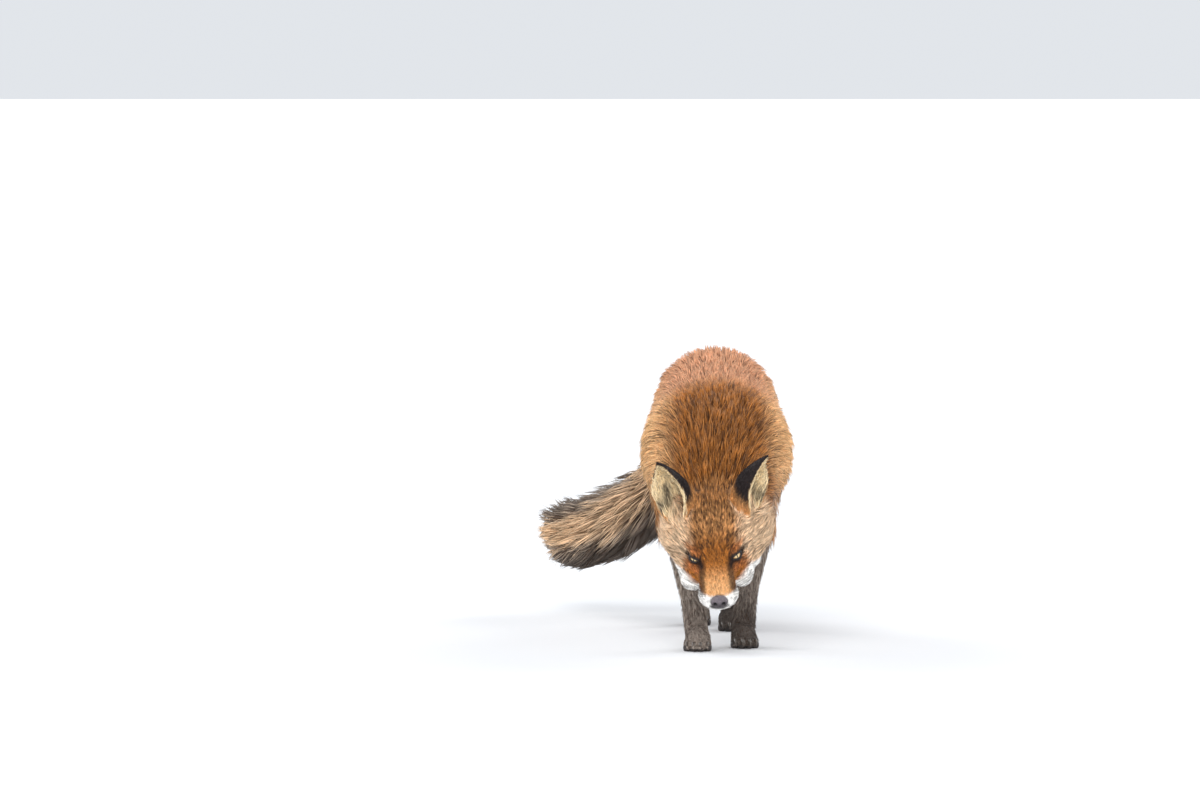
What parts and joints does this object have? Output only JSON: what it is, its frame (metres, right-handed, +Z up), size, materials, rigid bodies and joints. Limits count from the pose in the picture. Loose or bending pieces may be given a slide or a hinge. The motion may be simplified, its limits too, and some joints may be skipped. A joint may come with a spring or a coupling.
{
  "type": "red fox figure",
  "caption": "Life-size red fox in winter coat, walking slowly with its head low and its brush swung out to one side.",
  "frame": {"origin": "middle of the figure's box, at floor level under the feet", "axes": "-Y the way the fox faces, +X its left side, +Z up"},
  "size_m": [0.3214, 0.892, 0.3618],
  "materials": {
    "coat_orange": "long rust-orange fur",
    "coat_dark": "short dark brown fur",
    "coat_brush": "long tan fur with dark tips",
    "ear_black": "short black fur",
    "eye_amber": "wet amber eye",
    "nose_black": "damp black skin"
  },
  "bodies": {
    "root": {"ear_left": "ear_black", "ear_right": "ear_black", "eye_left": "eye_amber", "eye_right": "eye_amber", "foreleg_left": "coat_dark", "foreleg_right": "coat_dark", "forepaw_left": "coat_dark", "forepaw_right": "coat_dark", "head": "coat_orange", "hindleg_left": "coat_orange", "hindleg_right": "coat_orange", "hindpaw_left": "coat_dark", "hindpaw_right": "coat_dark", "hips": "coat_orange", "loins": "coat_orange", "neck": "coat_orange", "nose": "nose_black", "shoulders": "coat_orange", "tail_brush": "coat_brush", "tail_root": "coat_brush", "tail_tip": "coat_brush"}
  },
  "joints": []
}
